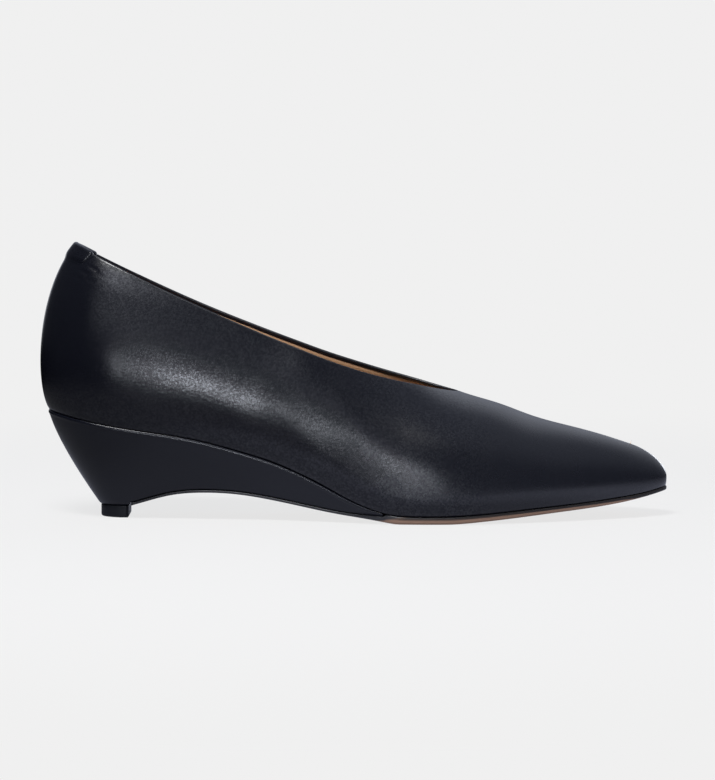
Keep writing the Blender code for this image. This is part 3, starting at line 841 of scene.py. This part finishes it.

# How far each point of the edge is darkened: grey-black ink at the waist, and brown-black along the top
# under the feather, which is partly ink and partly painted shade of the crevice under the upper.
# The waist's ink ends on a slant, and the bare part of the edge narrows to nothing at the toe.
WAIST_INK_END = 9.5
WAIST_INK_SLANT = 11.0
WAIST_INK_BLUR = 2.5
FEATHER_INK_AND_SHADE_BLUR = 0.12
BARE_PLACES = [30.0, 90.0, 112.0, 122.0]
BARE_SHARES = [0.54, 0.49, 0.38, -0.1]
edge_share = np.concatenate([HEIGHT_SHARE, np.full(len(tread), -1.0), HEIGHT_SHARE[::-1]])[None]
underside = edge_share < 0.0
boundary = WAIST_INK_END + WAIST_INK_SLANT * edge_share
waist_ink = np.clip((boundary - points[..., 0]) / WAIST_INK_BLUR + 0.5, 0.0, 1.0)
bare_share = np.interp(points[..., 0], BARE_PLACES, BARE_SHARES)
feather_ink_and_shade = np.clip((edge_share - bare_share) / FEATHER_INK_AND_SHADE_BLUR, 0.0, 1.0)
waist_ink = np.where(underside, 0.0, waist_ink)
feather_ink_and_shade = np.where(underside, 0.0, feather_ink_and_shade * (1.0 - waist_ink))

sole_leather, tree, surface = new_material("sole_leather")
grain = add_grain(tree, 1300.0, 3.0)
at_waist = add_node(tree, "ShaderNodeAttribute", attribute_name="waist_ink").outputs["Fac"]
at_feather_ink_and_shade = add_node(tree, "ShaderNodeAttribute", attribute_name="feather_ink_and_shade").outputs["Fac"]
fibre = mix_colours(tree, grain["Tone"], (0.19, 0.11, 0.072, 1.0), (0.34, 0.21, 0.14, 1.0))
waist_dye = mix_colours(tree, at_waist, fibre, (0.028, 0.028, 0.032, 1.0))
# Brown-black under the feather: partly ink, partly painted shade of the crevice under the upper
dye = mix_colours(tree, at_feather_ink_and_shade, waist_dye, (0.009, 0.0065, 0.006, 1.0))
polish = remap(tree, at_waist, 0.0, 1.0, 0.55, 0.38)
finish_surface(tree, surface, dye, polish, grain["Height"], 0.03)

faces = quads(index, False)
for k in range(index.shape[1] // 2 - 1):
    faces.append(tuple(index[0, [k, k + 1, -2 - k, -1 - k]].tolist()))
sole, kept = make_piece("sole", points.reshape(-1, 3), faces, sole_leather, "sole_leather", "outsole")
for name, ink in (("waist_ink", waist_ink), ("feather_ink_and_shade", feather_ink_and_shade)):
    layer = sole.data.attributes.new(name, "FLOAT", "POINT")
    layer.data.foreach_set("value", ink.reshape(-1)[kept])

# Wedge: a light block covered in the same calf, deep at the heel and drawn out thin to the ball.
# Its cover is pulled over the edges, so the top edge stands a little proud of the upper.
WEDGE_DYE = ((0.0048, 0.0055, 0.0102), (0.0068, 0.0075, 0.0130))
wedge_calf = leather("wedge_calf", *WEDGE_DYE, (0.32, 0.40), 1600.0, 4.0, 0.018)
TIP_FRONT = -93.8
TIP_BACK = -105.8
TIP_HALF = 9.9
TIP_HEIGHT = 5.05
TIP_CENTRE = TIP_FRONT - 0.5
HEEL_END = -88.0
HEEL_OVERHANG = 0.35
ARCH_SET_BACK = 0.15
WEDGE_SWELL = 1.3
WEDGE_ROWS = 22
WALL_END = 0.985
TOP_OUTSET = 0.2
TOP_INSET = 6.0
FOOT_INSET = 0.25
DEEP_INSET = 5.0
EDGE_PROUD = 0.36
EDGE_WIDTH = 1.6
EDGE_TALL = 2.2
seat_girth = girth_at(along, HEEL_END)
front_girth = girth_at(along, WEDGE_FRONT)


def wedge_spacing(girth):
    """Close round the heel."""
    return 2.0 - 0.9 * np.exp(-(girth / 34.0) ** 2)


def arch_spacing(girth):
    """The spacing of the solid's sections, whose first place sets where the wedge leaves the tip."""
    return 10.5 - 5.2 * np.exp(-(girth / 34.0) ** 2)


first_arch = stations(seat_girth, front_girth, arch_spacing)[1]


def arch_place(girths):
    """Where a section of the wedge meets the arch: straight below it, save near the heel tip."""
    part = (girths - first_arch) / (front_girth - first_arch)
    shift = SOLE_BACK - GAP - along(first_arch)
    return along(girths) + shift * (1.0 - np.clip(part, 0.0, 1.0)) ** 3


def wedge_foot(girths, sides):
    """The foot of the wedge's wall: round the heel tip, then along the arch."""
    turn = np.pi / 2.0 * np.minimum(girths / seat_girth, 1.0)
    heel_x = TIP_CENTRE - (TIP_FRONT - TIP_BACK) * np.cos(turn)
    heel_y = sides * (TIP_HALF + HEEL_OVERHANG) * np.sin(turn)
    heel = np.stack([heel_x, heel_y, np.full(len(girths), TIP_HEIGHT + GAP)], -1)
    x = arch_place(np.maximum(girths, first_arch))
    places = np.array([girth_at(along, value) for value in x])
    half = np.where(sides < 0, half_lateral(places), half_medial(places))
    half = half + sole_outset(x) - ARCH_SET_BACK
    arch = np.stack([x, sides * half, sole_top(x) + GAP], -1)
    share = np.clip((girths - seat_girth) / (first_arch - seat_girth), 0.0, 1.0)[:, None]
    return heel + (arch - heel) * share


girths = np.concatenate([stations(seat_girth, front_girth, wedge_spacing)[::-1],
                         stations(0.0, seat_girth, wedge_spacing)[-2::-1]])
sides = np.concatenate([np.full(len(girths), -1.0), np.ones(len(girths) - 1)])
girths = np.concatenate([girths, girths[-2::-1]])
place, outward = feather_line(girths, sides, np.full(len(girths), TOP_OUTSET))
top_z = seat_z(np.maximum(place[:, 0], LAST[0].x)) - GAP
foot = wedge_foot(girths, sides)
tall = top_z - foot[:, 2]
thin = np.clip(tall / EDGE_TALL, 0.3, 1.0)

# The wall's rows: first the rounded top edge by depth and set-back, then even steps to the foot
depths = [0.0, 0.05, 0.1, 0.2, 0.3, 0.45, 0.65, 0.9, 1.2, 1.5, 1.9, 2.4, 3.0]
set_back = [0.95, 0.67, 0.57, 0.45, 0.37, 0.30, 0.23, 0.137]
tight_rows = len(set_back) + 1
set_back += [0.0] * (len(depths) + WEDGE_ROWS - len(set_back))
first = depths[-1] * thin / tall
rows = [np.concatenate([place - outward * TOP_INSET, top_z[:, None]], 1)]
for step in range(len(depths) + WEDGE_ROWS):
    deep = depths[step] * thin / tall if step < len(depths) else first
    part = deep + (WALL_END - first) * max(0, step - len(depths) + 1) / WEDGE_ROWS
    proud = EDGE_PROUD * np.exp(-(part * tall / (EDGE_WIDTH * thin)) ** 4) - set_back[step]
    lean = (foot[:, :2] - place) * (part ** WEDGE_SWELL)[:, None]
    plan = place + lean + outward * (proud * thin)[:, None]
    rows.append(np.concatenate([plan, (top_z - tall * part)[:, None]], 1))
for inset in (FOOT_INSET, np.minimum(DEEP_INSET, np.abs(foot[:, 1:2]) * 0.8 + 0.4)):
    rows.append(np.concatenate([foot[:, :2] - outward * inset, foot[:, 2:]], 1))
points = np.stack(rows, 1)
faces = [face[::-1] for face in quads(grid(points)[::-1], False)]
wedge, _ = make_piece("wedge_cover", points.reshape(-1, 3), faces, wedge_calf, "wedge_leather", "wedge")

# The cover is drawn tight round its top edge, which leaves a glossier line there
tight_calf = leather("tight_calf", *WEDGE_DYE, (0.22, 0.28), 1600.0, 4.0, 0.012)
wedge.data.materials.append(tight_calf)
face_rows = np.arange(len(faces)) % (points.shape[1] - 1)
tight = (face_rows > 0) & (face_rows < tight_rows)
wedge.data.polygons.foreach_set("material_index", tight.astype(int))

# Heel tip: a small moulded rubber piece pinned under the point of the wedge.
# Its tread edge is rounded off.
CORNER = 0.9
tip_outline = []
tip_normals = []
reach = TIP_CENTRE - TIP_BACK
for turn in np.linspace(-np.pi / 2.0, np.pi / 2.0, 49):
    tip_outline.append((TIP_CENTRE - reach * np.cos(turn), TIP_HALF * np.sin(turn)))
    tip_normals.append((-np.cos(turn) / reach, np.sin(turn) / TIP_HALF))
for side in (1.0, -1.0):
    turns = np.linspace(0.0, np.pi / 2.0, 7)
    for turn in (turns if side > 0 else turns[::-1]):
        tip_outline.append((TIP_FRONT - CORNER + CORNER * np.sin(turn),
                            side * (TIP_HALF - CORNER + CORNER * np.cos(turn))))
        tip_normals.append((np.sin(turn), side * np.cos(turn)))
tip_outline = np.array(tip_outline)
tip_normals = unit(np.array(tip_normals))

# Its rows from the top to the tread, by inset and height
TIP_ROWS = ((4.0, TIP_HEIGHT), (0.3, TIP_HEIGHT), (0.08, TIP_HEIGHT - 0.08), (0.0, TIP_HEIGHT - 0.3),
            (0.0, 3.6), (0.0, 2.2), (0.0, 0.9),
            (0.06, 0.5), (0.2, 0.22), (0.42, 0.06), (0.8, 0.0), (4.0, 0.0))
rows = []
for inset, height in TIP_ROWS:
    level = np.full((len(tip_outline), 1), height)
    rows.append(np.concatenate([tip_outline - tip_normals * inset, level], 1))
points = np.stack(rows, 1)
index = grid(points)
faces = [face[::-1] for face in quads(index, True)]
faces.append(tuple(index[:, -1].tolist()))

tip_rubber, tree, surface = new_material("tip_rubber")
surface.inputs["Specular IOR Level"].default_value = 0.3
place = add_node(tree, "ShaderNodeTexCoord").outputs["Object"]
moulding = noise(tree, place, 2600.0, 3.0)
scuff = noise(tree, place, 260.0, 4.0)
tint = mix_colours(tree, scuff, (0.004, 0.005, 0.008, 1.0), (0.009, 0.010, 0.014, 1.0))
finish_surface(tree, surface, tint, remap(tree, scuff, 0.0, 1.0, 0.45, 0.65), moulding, 0.025)
make_piece("tip", points.reshape(-1, 3), faces, tip_rubber, "tip_rubber", "top_piece")

# Studio: a plain pale floor that runs into a plain pale background, and soft lights.
# The floor takes the shoe's shadow and fades into the background's tone away from it.
# Round the shoe it also glows with painted bounce light, which the camera does not see.
PALE = 0.871
PAPER = 0.125
FILL = 0.75
PAINTED_BOUNCE = 0.7
FLOOR_HALF = 9.0
FLOOR_DROP = 0.0002
floor_mesh = bpy.data.meshes.new("floor")
corners = [(FLOOR_HALF * x, FLOOR_HALF * y, -FLOOR_DROP) for x, y in ((-1, -1), (1, -1), (1, 1), (-1, 1))]
floor_mesh.from_pydata(corners, [], [(0, 1, 2, 3)])
floor = bpy.data.objects.new("floor", floor_mesh)
bpy.context.scene.collection.objects.link(floor)
paper, tree, surface = new_material("pale_paper")
surface.inputs["Base Color"].default_value = (PAPER, PAPER, PAPER, 1.0)
surface.inputs["Roughness"].default_value = 0.9
surface.inputs["Specular IOR Level"].default_value = 0.0


def vector_value(tree, operation, vector, other=(0.0, 0.0, 0.0)):
    """The length of a vector, or its dot product with another."""
    return add_node(tree, "ShaderNodeVectorMath", {0: vector, 1: other}, operation=operation).outputs["Value"]


def glowing(tree, colour, strength):
    """Light given off in a colour."""
    return add_node(tree, "ShaderNodeEmission", {"Color": (*colour, 1.0), "Strength": strength}).outputs[0]


place = add_node(tree, "ShaderNodeTexCoord").outputs["Object"]
far = remap(tree, vector_value(tree, "LENGTH", place), 0.2, 0.55, 0.0, 1.0, "SMOOTHSTEP")
seen = add_node(tree, "ShaderNodeLightPath").outputs["Is Camera Ray"]

# Painted bounce light: round the shoe the paper glows in an oval for all but the camera's rays,
# and gives light back to the walls and shows in them. The glow is dimmed close to the shoe as painted
# shade, and on the heel's side.
oval = add_node(tree, "ShaderNodeVectorMath", {0: place, 1: (0.8, 1.0, 1.0)}, operation="MULTIPLY")
reach = vector_value(tree, "LENGTH", oval.outputs[0])
# Painted shade: the glow is dimmer close to the shoe
painted_shade_near_shoe = remap(tree, reach, 0.06, 0.12, 0.42, 1.0, "SMOOTHSTEP")
inside_rim = remap(tree, reach, 0.13, 0.20, 1.0, 0.25, "SMOOTHSTEP")
toe_side = vector_value(tree, "DOT_PRODUCT", place, (1.0, 0.6, 0.0))
open_side = remap(tree, toe_side, -0.16, -0.05, 0.1, 1.0, "SMOOTHSTEP")
ring = calculate(tree, "MULTIPLY", calculate(tree, "MULTIPLY", painted_shade_near_shoe, inside_rim), open_side)
painted_bounce_share = calculate(tree, "MULTIPLY", ring, calculate(tree, "SUBTRACT", 1.0, seen))
fill = glowing(tree, (FILL, FILL, FILL), seen)
painted_bounce_glow = glowing(tree, (PAINTED_BOUNCE * 0.91, PAINTED_BOUNCE * 0.96, PAINTED_BOUNCE * 1.24), painted_bounce_share)
glow = glowing(tree, (PALE, PALE, PALE), seen)
lit = add_node(tree, "ShaderNodeAddShader", {0: fill, 1: painted_bounce_glow})
near = add_node(tree, "ShaderNodeAddShader", {0: surface.outputs[0], 1: lit.outputs[0]})
blend = add_node(tree, "ShaderNodeMixShader", {0: far, 1: near.outputs[0], 2: glow})
tree.links.new(blend.outputs[0], tree.nodes["Material Output"].inputs["Surface"])
floor_mesh.materials.append(paper)

# The room is seen plain and pale, but lights the shoe more from high behind and less from the heel
world = bpy.data.worlds.new("studio")
bpy.context.scene.world = world
world.use_nodes = True
tree = world.node_tree
seen = add_node(tree, "ShaderNodeLightPath").outputs["Is Camera Ray"]
backdrop = tree.nodes["Background"]
backdrop.inputs["Color"].default_value = (PALE, PALE, PALE, 1.0)
direction = add_node(tree, "ShaderNodeTexCoord").outputs["Generated"]
toe_side = add_node(tree, "ShaderNodeSeparateXYZ", {0: direction}).outputs["X"]
high_back = vector_value(tree, "DOT_PRODUCT", direction, (0.0, 0.6, 0.8))
open_side = remap(tree, toe_side, -0.65, -0.05, 0.15, 1.0, "SMOOTHSTEP")
ceiling = remap(tree, high_back, 0.0, 0.7, 0.12, 0.33, "SMOOTHSTEP")
dim = calculate(tree, "MULTIPLY", open_side, ceiling)
room = add_node(tree, "ShaderNodeBackground", {"Color": (0.90, 0.97, 1.18, 1.0), "Strength": dim})
blend = add_node(tree, "ShaderNodeMixShader", {0: seen, 1: room.outputs[0], 2: backdrop.outputs[0]})
tree.links.new(blend.outputs[0], tree.nodes["World Output"].inputs["Surface"])

# The lights aim at a point above the floor's middle, and most are a little cool
LIT_HEIGHT = 0.05
COOL = (0.94, 0.98, 1.08)


def soft_light(name, azimuth, elevation, distance, width, height, radiance, colour=(1.0, 1.0, 1.0)):
    """A panel, brightest in its middle, that lights the shoe from a direction.

    The azimuth is counted from the camera towards the toe.
    """
    lamp = bpy.data.lights.new(name, "AREA")
    lamp.shape = "RECTANGLE"
    lamp.size = width
    lamp.size_y = height
    lamp.energy = radiance * np.pi * width * height
    lamp.color = colour
    lamp.use_nodes = True
    tree = lamp.node_tree
    spot = add_node(tree, "ShaderNodeNewGeometry").outputs["Parametric"]
    parts = add_node(tree, "ShaderNodeSeparateXYZ", {0: spot})
    humps = []
    for axis in ("X", "Y"):
        half_turn = calculate(tree, "MULTIPLY", parts.outputs[axis], np.pi)
        humps.append(calculate(tree, "SINE", half_turn, 0.0))
    tree.links.new(calculate(tree, "MULTIPLY", *humps), tree.nodes["Emission"].inputs["Strength"])
    thing = bpy.data.objects.new(name, lamp)
    turn = np.radians(azimuth)
    lift = np.radians(elevation)
    thing.location = (distance * np.sin(turn) * np.cos(lift), -distance * np.cos(turn) * np.cos(lift),
                      distance * np.sin(lift) + LIT_HEIGHT)
    thing.rotation_euler = (np.pi / 2.0 - lift, 0.0, turn)
    thing.visible_camera = False
    bpy.context.scene.collection.objects.link(thing)


soft_light("front_panel", -8.0, 1.4, 1.25, 0.72, 0.10, 5.4, COOL)
soft_light("front_core", -4.6, 0.0, 1.24, 0.30, 0.075, 20.0, COOL)
soft_light("waist_core", -18.0, 1.5, 1.24, 0.09, 0.10, 12.0, COOL)
soft_light("joint_core", 4.6, -0.6, 1.24, 0.15, 0.070, 16.0, COOL)
soft_light("front_veil", -6.0, 7.5, 1.25, 0.15, 0.16, 2.9, COOL)
soft_light("upper_front_panel", -16.0, 40.0, 1.4, 0.82, 0.42, 2.6, COOL)
soft_light("front_fill", -18.0, 22.0, 1.5, 1.5, 0.7, 0.53, COOL)
soft_light("key_panel", -22.0, 60.0, 1.4, 0.70, 0.45, 42.0)
soft_light("back_panel", 146.0, 32.0, 1.8, 2.4, 1.5, 0.45, COOL)
soft_light("far_panel", 154.0, 4.0, 1.25, 0.60, 0.30, 7.0, COOL)
soft_light("heel_rim", -160.0, 3.0, 1.5, 0.9, 0.5, 0.42, COOL)

# Camera: the photograph's own side view, from a little above, through a long lens
SENSOR = 36.0
PICTURE_HEIGHT = 780.0
FOCAL_PIXELS = 3600.0
EYE_HEIGHT = 0.172
AIM_HEIGHT = 0.05255
AIM_DISTANCE = 1.5
lens = bpy.data.cameras.new("camera")
lens.sensor_fit = "VERTICAL"
lens.sensor_height = SENSOR
lens.lens = SENSOR * FOCAL_PIXELS / PICTURE_HEIGHT
lens.clip_end = 40.0
camera = bpy.data.objects.new("camera", lens)
camera.location = (0.00135, -1.49946, EYE_HEIGHT)
camera.rotation_euler = (np.pi / 2.0 - np.arctan2(EYE_HEIGHT - AIM_HEIGHT, AIM_DISTANCE), 0.0, 0.0)
bpy.context.scene.collection.objects.link(camera)
bpy.context.scene.camera = camera
bpy.context.scene.view_settings.view_transform = "Standard"
